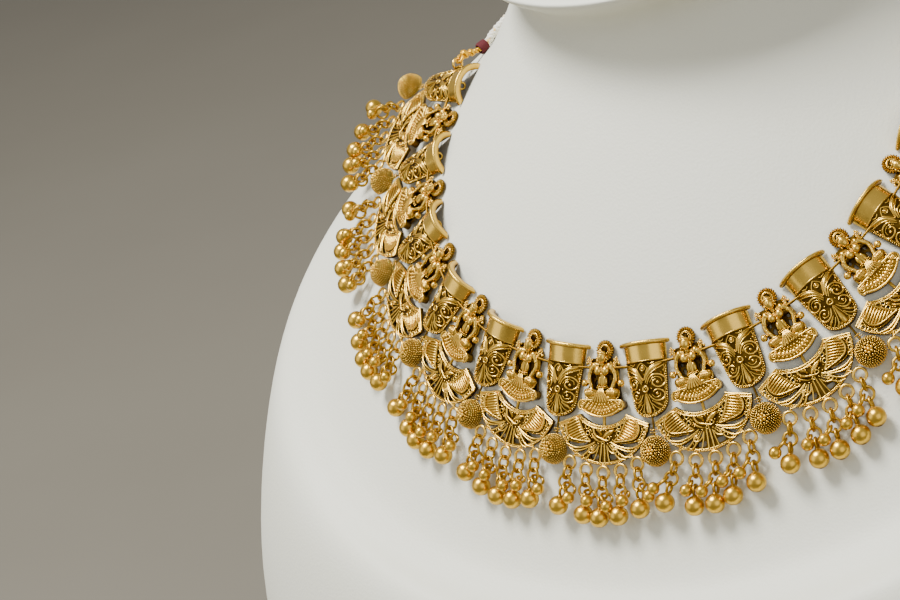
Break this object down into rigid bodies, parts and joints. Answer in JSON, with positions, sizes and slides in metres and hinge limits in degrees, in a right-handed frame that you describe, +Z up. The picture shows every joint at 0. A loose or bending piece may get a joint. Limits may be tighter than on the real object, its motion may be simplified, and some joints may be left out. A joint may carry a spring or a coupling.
{
  "type": "temple jewellery necklace on a neck bust",
  "caption": "Antique gold temple necklace of arched plates, goddess motifs, pierced fans and bead fringes, tied with a cord and lying on a plain neck bust.",
  "frame": {"origin": "centre of the footprint of the bust on its base face", "axes": "+Z up, -Y towards the wearer's front, +X to the viewer's right"},
  "size_m": [0.338, 0.2043, 0.2888],
  "materials": {
    "bust": "fine grained white leatherette",
    "antique_gold": "matte antique gold plating, darker in the recesses",
    "bead_gold": "satin gold plating",
    "cord": "twisted off-white thread with gold flecks",
    "gold_thread": "wound metallic thread",
    "binding": "wound red thread"
  },
  "bodies": {
    "root": {"neck_bust": "bust", "arch_plate_1": "antique_gold", "arch_plate_2": "antique_gold", "arch_plate_3": "antique_gold", "arch_plate_4": "antique_gold", "arch_plate_5": "antique_gold", "arch_plate_6": "antique_gold", "arch_plate_7": "antique_gold", "arch_plate_8": "antique_gold", "arch_plate_9": "antique_gold", "arch_plate_10": "antique_gold", "arch_plate_11": "antique_gold", "arch_plate_12": "antique_gold", "goddess_unit_1": "antique_gold", "goddess_unit_2": "antique_gold", "goddess_unit_3": "antique_gold", "goddess_unit_4": "antique_gold", "goddess_unit_5": "antique_gold", "goddess_unit_6": "antique_gold", "goddess_unit_7": "antique_gold", "goddess_unit_8": "antique_gold", "goddess_unit_9": "antique_gold", "goddess_unit_10": "antique_gold", "goddess_unit_11": "antique_gold", "bead_fringe_1": "bead_gold", "bead_fringe_2": "bead_gold", "bead_fringe_3": "bead_gold", "bead_fringe_4": "bead_gold", "bead_fringe_5": "bead_gold", "bead_fringe_6": "bead_gold", "bead_fringe_7": "bead_gold", "bead_fringe_8": "bead_gold", "bead_fringe_9": "bead_gold", "bead_fringe_10": "bead_gold", "bead_fringe_11": "bead_gold", "stringing_wire": "antique_gold", "neck_cord": "cord", "gold_thread_left": "gold_thread", "gold_thread_right": "gold_thread", "red_binding_left": "binding", "red_binding_right": "binding"}
  },
  "joints": []
}
